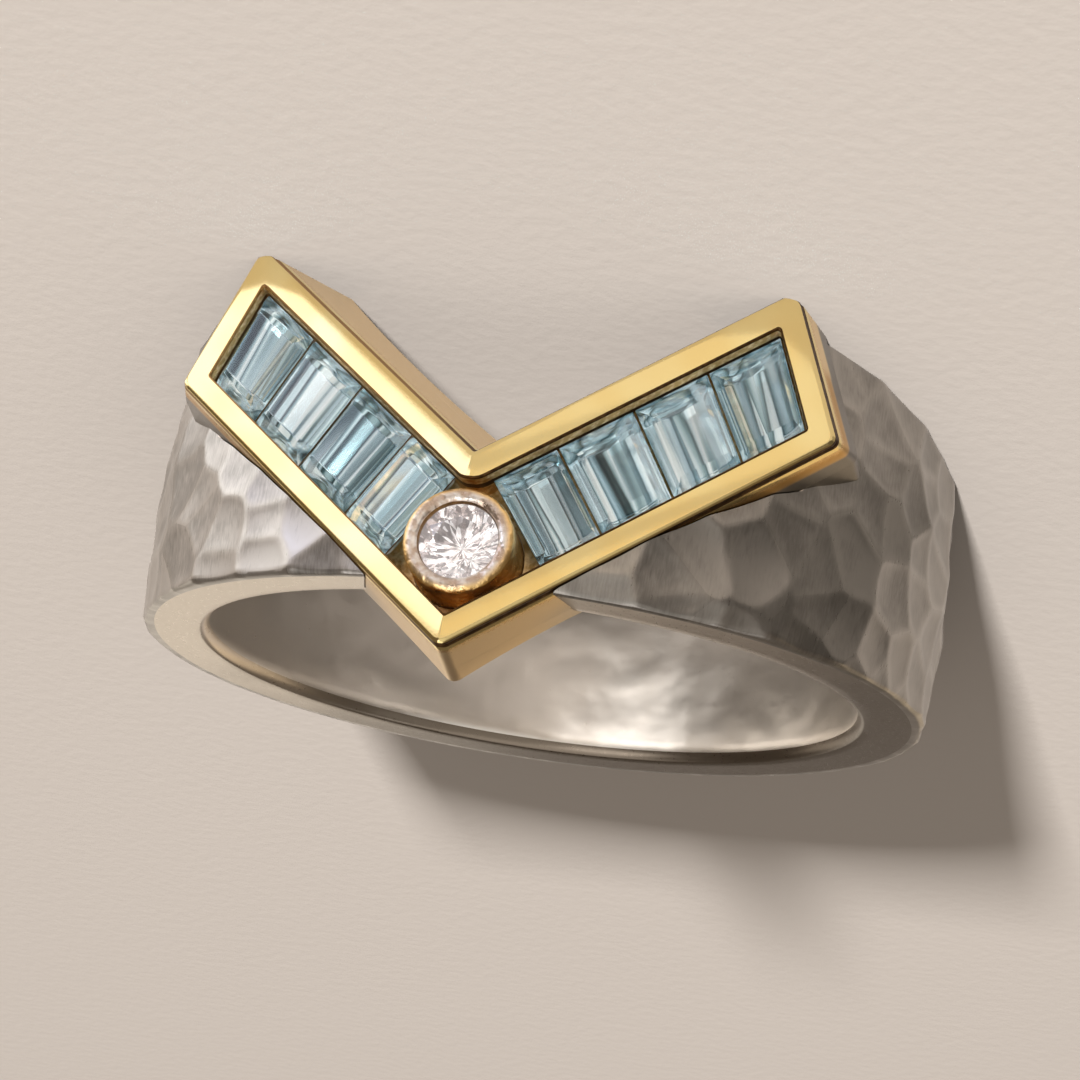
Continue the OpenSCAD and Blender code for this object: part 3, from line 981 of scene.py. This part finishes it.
def aquaPavilion():
    # painted reflections: bands of light and dark water colour along the stone's length, as the steps of a
    # closed setting show, with a faint painted glow as if lit through
    look = {
        "ink": (0.012, 0.03, 0.034), "deep": (0.075, 0.15, 0.168), "mid": (0.29, 0.425, 0.465),
        "pale": (0.64, 0.77, 0.82), "white": (0.88, 0.96, 0.98), "glow": 0.15, "endFacets": (0.31, 0.33),
    }
    tones = [
        (0.25, "mid"), (0.33, "deep"), (0.38, "ink"), (0.405, "mid"), (0.44, "pale"), (0.475, "mid"),
        (0.495, "deep"), (0.51, "pale"), (0.55, "white"), (0.585, "mid"), (0.61, "ink"), (0.635, "pale"),
        (0.72, "mid"),
    ]
    bench = Finish("aquaPavilion", look["pale"], 0.85, 0.08, Emission_Strength=look["glow"])
    across, along, seed = (
        bench.add("ShaderNodeAttribute", {"attribute_name": name}, out=2)
        for name in ("acrossStone", "alongStone", "stoneSeed")
    )
    bands = bench.noise(bench.add("ShaderNodeCombineXYZ", None, across, along * 0.04, seed), 2.7, 1.0)
    ends = bench.add("ShaderNodeCombineXYZ", None, across * 0.6, along * 1.2, seed + 4.0)
    chips = bench.noise(ends, 3.5, 1.5)
    # near the channel's walls the end facets break the bands up
    atEnd = bench.ramp((along - 0.5).maths("ABSOLUTE"), *look["endFacets"])
    tone = bands + (chips * 0.5 + 0.25 - bands) * atEnd
    stops = [(place, look[colour]) for place, colour in tones]
    colour = bench.add("ShaderNodeValToRGB", {"stops": stops}, tone)
    return bench.feed(Base_Color=colour, Emission_Color=colour, Roughness=0.05 + chips * 0.08)


def sparklingPavilion():
    # the brilliant's many small mirrors, each painted a random grey, white or pink as painted sparkle, paler
    # in the middle, with a painted glow
    look = {
        "dark": (0.30, 0.28, 0.275), "pink": (0.80, 0.75, 0.745), "white": (1.0, 0.99, 0.99), "glow": 0.5,
        "dimGlow": (0.30, 0.275, 0.275), "fullGlow": (1.0, 0.98, 0.98), "middle": (0.05, 0.5),
        "cellsRound": 2.6, "cellsOut": 1.5,
    }
    bench = Finish("sparklingPavilion", look["white"], 0.9, 0.06, Emission_Strength=look["glow"])
    x, y, _ = bench.split(standing(bench))
    y = y - colletY
    out = (x * x + y * y).maths("SQRT")
    ray = bench.add(
        "ShaderNodeCombineXYZ", None,
        x / out * look["cellsRound"], y / out * look["cellsRound"], out * look["cellsOut"],
    )
    chips = bench.add("ShaderNodeTexVoronoi", {"feature": "F1"}, Vector=ray, Scale=2.7, Randomness=1.0, out=1)
    cell, other, third = bench.split(chips)
    paler = other + bench.ramp(out, *look["middle"], 1.0, 0.0) * 0.25
    plain = bench.blend(bench.ramp(cell, 0.2, 0.7), look["dark"], look["pink"])
    colour = bench.blend(bench.ramp(paler, 0.6, 0.8), plain, look["white"])
    glow = bench.blend(bench.ramp(paler, 0.66, 0.86), look["dimGlow"], look["fullGlow"])
    return bench.feed(Base_Color=colour, Emission_Color=glow, Roughness=0.04 + third * 0.1)


def stepCut(name, side, index, s, slots):
    # a baguette of four-cornered rings, from the table down to the foot of the pavilion
    width = chevron["stoneWidths"][index]
    near = firstT + sum(chevron["stoneWidths"][:index]) + chevron["stoneGap"] * index
    tilts = [math.radians(a) for a in s["endTilts"][index:index + 2]]
    fall = chevron["armFall"]
    lift = chevron["ridgeHeight"] - (s["recess"] + s["crown"] + s["girdle"]) * steepness
    steps = [(s["girdle"] + h * s["crown"], li, ei) for h, li, ei in s["crownSteps"]]
    steps += [(h * s["pavilion"], li, ei) for h, li, ei in s["pavilionSteps"]]
    points, acrossStone, alongStone = [], [], []
    for height, longInset, endInset in steps:
        acrossStone += [longInset, 1 - longInset, 1 - longInset, longInset]
        endShare = endInset * width / chevron["channelWidth"]
        alongStone += [endShare, endShare, 1 - endShare, 1 - endShare]
        v = halfChannel - chevron["gap"] - endInset * width
        first = near + longInset * width / math.cos(tilts[0])
        last = near + width - longInset * width / math.cos(tilts[1])
        corners = [(first, tilts[0], -v), (last, tilts[1], -v), (last, tilts[1], v), (first, tilts[0], v)]
        for t, tilt, across in corners:
            x, y = armPlace(t + across * math.tan(tilt), across)
            points.append((
                side * (x * math.cos(fall) + height * math.sin(fall)), y,
                lift - x * math.sin(fall) + height * math.cos(fall),
            ))
    faces, kinds = [(3, 2, 1, 0)], [crownFace]
    girdle = len(s["crownSteps"]) - 1
    for k in range(len(steps) - 1):
        for c in range(4):
            faces.append((4 * k + c, 4 * k + (c + 1) % 4, 4 * k + 4 + (c + 1) % 4, 4 * k + 4 + c))
            kinds.append(crownFace if k < girdle else girdleFace if k == girdle else pavilionFace)
    last = 4 * (len(steps) - 1)
    faces.append((last, last + 1, last + 2, last + 3))
    kinds.append(pavilionFace)
    if side > 0:
        faces = [tuple(reversed(f)) for f in faces]
    stone = meshFrom(name, points, faces, slots, kinds, smooth=False)
    # the pavilion's pattern follows these, and each stone's is its own
    places = {
        "acrossStone": acrossStone,
        "alongStone": alongStone,
        "stoneSeed": [2.9 * index + 3.3 * side + 8.0] * len(points),
    }
    for attribute, values in places.items():
        stone.data.attributes.new(attribute, "FLOAT", "POINT").data.foreach_set("value", values)
    return stone


def roundCut(name, s, slots):
    r = s["diameter"] / 2
    half = math.pi / 8
    girdleTop = s["girdle"] * r
    tableHeight = girdleTop + s["crown"] * r
    table, star, lower = s["table"] * r, s["star"] * r, s["lower"] * r
    starHeight = tableHeight + (star * math.cos(half) - table) * (girdleTop - tableHeight) / (r - table)
    lowerHeight = -s["pavilion"] * r * (1 - lower * math.cos(half) / r)
    base = chevron["ridgeHeight"] - s["recess"] - tableHeight

    def circle(radius, count, turn, height):
        angles = [2 * math.pi * k / count + turn for k in range(count)]
        return [(radius * math.cos(a), colletY + radius * math.sin(a), base + height) for a in angles]

    points = circle(table, 8, 0, tableHeight) + circle(star, 8, half, starHeight)
    points += circle(r, 16, 0, girdleTop) + circle(r, 16, 0, 0)
    points += circle(lower, 8, half, lowerHeight) + [(0, colletY, base - s["pavilion"] * r)]
    # where each circle starts in the list of points
    starAt, topAt, footAt, lowAt, culet = 8, 16, 32, 48, 56
    faces, kinds = [tuple(range(8))], [crownFace]
    for i in range(8):
        g, gNext, gAfter = 2 * i, 2 * i + 1, (2 * i + 2) % 16
        last, low = (i + 7) % 8, lowAt + i
        faces += [
            (i, starAt + i, (i + 1) % 8),
            (i, starAt + last, topAt + g, starAt + i),
            (starAt + i, topAt + g, topAt + gNext),
            (starAt + i, topAt + gNext, topAt + gAfter),
            (low, footAt + gNext, footAt + g),
            (low, footAt + gAfter, footAt + gNext),
            (culet, low, footAt + g, lowAt + last),
        ]
        kinds += [crownFace] * 4 + [pavilionFace] * 3
    for i in range(16):
        after = (i + 1) % 16
        faces.append((topAt + i, footAt + i, footAt + after, topAt + after))
        kinds.append(crownFace)
    return meshFrom(name, points, faces, slots, kinds, smooth=False)


def makeStones(s, brilliantSettings):
    aqua = [crownGlass("aquaCrown", s), aquaPavilion(), edgeLine()]
    clear = [crownGlass("clearCrown", brilliantSettings), sparklingPavilion()]
    for side, letter in ((-1, "l"), (1, "r")):
        for index in range(len(chevron["stoneWidths"])):
            node = "baguette_" + letter + str(index + 1)
            stone = stepCut("stepCut_" + letter + str(index + 1), side, index, s, aqua)
            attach(stone, "root")
            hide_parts(node)
    brilliant = roundCut("roundBrilliant", brilliantSettings, clear)
    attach(brilliant, "root")
    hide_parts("brilliant")


makeStones(stoneLook, brilliantLook)
print("stones cut")


# Floor, lights and the cards that the metal mirrors
studio = {
    "floorSize": 3.0,
    "floorColour": (0.655, 0.600, 0.556),
    "fibreScale": 2200.0,
    "dimSky": (0.19, 0.152, 0.118),
    "frontSky": (1.0, 0.95, 0.88),
    "frontFrom": (-105, 42),
    "frontSpread": (0.55, 0.95),
    "worldStrength": 0.75,
    "sheetHeight": 0.0003,
    "keyFrom": (-85.5, 14.5, 1.5),
    "keyLift": 0.006,
    "keySize": 0.13,
    "keyPower": 62.5,
    "keyColour": (1.0, 0.975, 0.945),
}


def makePlate(name, corners, material):
    # one four-cornered face
    mesh = bpy.data.meshes.new(name)
    mesh.from_pydata(corners, [], [(0, 1, 2, 3)])
    mesh.materials.append(material)
    return addObject(name, mesh)


def square(half, height=0.0):
    return [(-half, -half, height), (half, -half, height), (half, half, height), (-half, half, height)]


def makeFloor(s):
    bench = Finish("paleBoard", s["floorColour"], 0.0, 0.9, Specular_IOR_Level=0.0)
    place = bench.add("ShaderNodeTexCoord", out=3)
    fibres = bench.noise(place, s["fibreScale"], 4.0)
    cloud = bench.noise(place, 18.0, 1.0)
    darker = tuple(c * 0.95 for c in s["floorColour"])
    material = bench.feed(
        Base_Color=bench.blend(cloud * 0.7 + fibres * 0.3, darker, s["floorColour"]),
        Normal=bench.bump(fibres, 0.03, 0.3),
    )
    floor = makePlate("floor", square(s["floorSize"] / 2), material)


def towards(azimuth, elevation, distance):
    # azimuth 0 is +X and grows towards +Y
    a, e = math.radians(azimuth), math.radians(elevation)
    return Vector((math.cos(a) * math.cos(e), math.sin(a) * math.cos(e), math.sin(e))) * distance


def areaLight(name, place, facing, up, size, power, colour):
    data = bpy.data.lights.new(name, "AREA")
    data.shape = "RECTANGLE"
    data.size, data.size_y = size
    data.energy = power
    data.color = colour
    light = addObject(name, data)
    light.location = place
    light.rotation_mode = "QUATERNION"
    light.rotation_quaternion = facing.to_track_quat("-Z", up)
    return light


def makeKey(s):
    azimuth, elevation, distance = s["keyFrom"]
    place = towards(azimuth, elevation, distance) + Vector((0, 0, s["keyLift"]))
    size = (s["keySize"], s["keySize"])
    key = areaLight("key", place, towards(azimuth, elevation, -1), "Y", size, s["keyPower"], s["keyColour"])
    key.visible_glossy = False


# a small soft light, in millimetres, that only the metal and stones mirror, and only from the front
boreGlow = {
    "place": (5.75, -4.3, 3.2),
    "facing": (-0.6, 0.8, 0.0),
    "size": (8.3, 5.8),
    "radiance": 1.9,
    "colour": (1.0, 0.97, 0.93),
}


def makeGlow(name, s):
    width, height = (side * mm for side in s["size"])
    power = s["radiance"] * math.pi * width * height
    place, facing = Vector(s["place"]) * mm, Vector(s["facing"])
    light = areaLight(name, place, facing, "Z", (width, height), power, s["colour"])
    light.visible_camera = light.visible_diffuse = light.visible_transmission = False


def makeCard(name, corners, colour, strength):
    # a glowing card, seen only in the ring's metal and stones
    glow = Finish(name, (0, 0, 0), 0.0, 0.5, Emission_Color=(*colour, 1), Emission_Strength=strength)
    card = makePlate(name, corners, glow.material)
    card.visible_camera = card.visible_diffuse = card.visible_shadow = False
    card.visible_transmission = card.visible_volume_scatter = False


def standingCorners(azimuth, distance, width, height):
    # corners of a card that stands on the floor and faces the ring
    centre = towards(azimuth, 0, distance)
    side = towards(azimuth + 90, 0, width / 2)
    left, right = centre - side, centre + side
    return [(p.x, p.y, h) for p, h in ((left, 0.0), (right, 0.0), (right, height), (left, height))]


def hangingCorners(azimuth, elevation, distance, half):
    # corners of a square card that hangs in the air and faces the ring
    centre = towards(azimuth, elevation, distance)
    side, rise = towards(azimuth + 90, 0, half), towards(azimuth, elevation + 90, half)
    return [tuple(centre + a * side + b * rise) for a, b in ((-1, -1), (1, -1), (1, 1), (-1, 1))]


# sheets just over the floor: corners in millimetres, colour and strength
sheets = {
    "armSheet": ([(7.5, -12), (13.2, -7.8), (46, -38), (22, -56)], (0.82, 0.84, 1.0), 1.9),
    "otherArmSheet": ([(-1, -13), (-11, -13), (-18, -27), (-4, -27)], (0.86, 0.77, 0.68), 1.0),
    "bandSheet": ([(13.5, -3.5), (50, -10), (50, -34), (15, -8.5)], (1.0, 0.98, 0.96), 1.75),
    "sideSheet": ([(-13, 1), (-15, -13), (-42, -24), (-40, 6)], (0.30, 0.265, 0.23), 1.0),
    "farSheet": ([(-30, -35), (2, -43), (8, -95), (-50, -85)], (0.84, 0.71, 0.56), 1.0),
}
# cards round the ring: corners in metres, colour and strength
cards = {
    "darkCard": (standingCorners(-165, 0.036, 0.045, 0.012), (0.10, 0.088, 0.075), 1.0),
    "skyCard": (hangingCorners(-62, 48, 0.5, 0.13), (1.0, 0.985, 0.965), 2.6),
    "topCard": (square(0.3, 0.6), (1.0, 0.97, 0.93), 1.2),
    "rimCard": (standingCorners(51, 0.16, 0.16, 0.05), (0.95, 0.86, 0.74), 1.0),
    "wallCard": (standingCorners(125, 0.16, 0.18, 0.06), (0.76, 0.61, 0.43), 1.0),
}


def makeWorld(s):
    world = bpy.data.worlds.new("studio")
    world.use_nodes = True
    bench = Bench(world.node_tree)
    back = world.node_tree.nodes["Background"]
    front = tuple(towards(*s["frontFrom"], 1))
    nearness = bench.vector("DOT_PRODUCT", bench.add("ShaderNodeTexCoord"), front, out=1)
    sky = bench.blend(bench.ramp(nearness, *s["frontSpread"]), s["dimSky"], s["frontSky"])
    bench.connect(sky, back.inputs["Color"])
    bench.connect(s["worldStrength"], back.inputs["Strength"])
    bpy.context.scene.world = world


makeFloor(studio)
makeWorld(studio)
makeKey(studio)
for name, (corners, colour, strength) in sheets.items():
    makeCard(name, [(x * mm, y * mm, studio["sheetHeight"]) for x, y in corners], colour, strength)
makeGlow("boreGlow", boreGlow)
for name, (corners, colour, strength) in cards.items():
    makeCard(name, corners, colour, strength)
bpy.context.scene.view_settings.view_transform = "Standard"
bpy.context.scene.cycles.caustics_reflective = False
print("floor and lights set")

print("done")
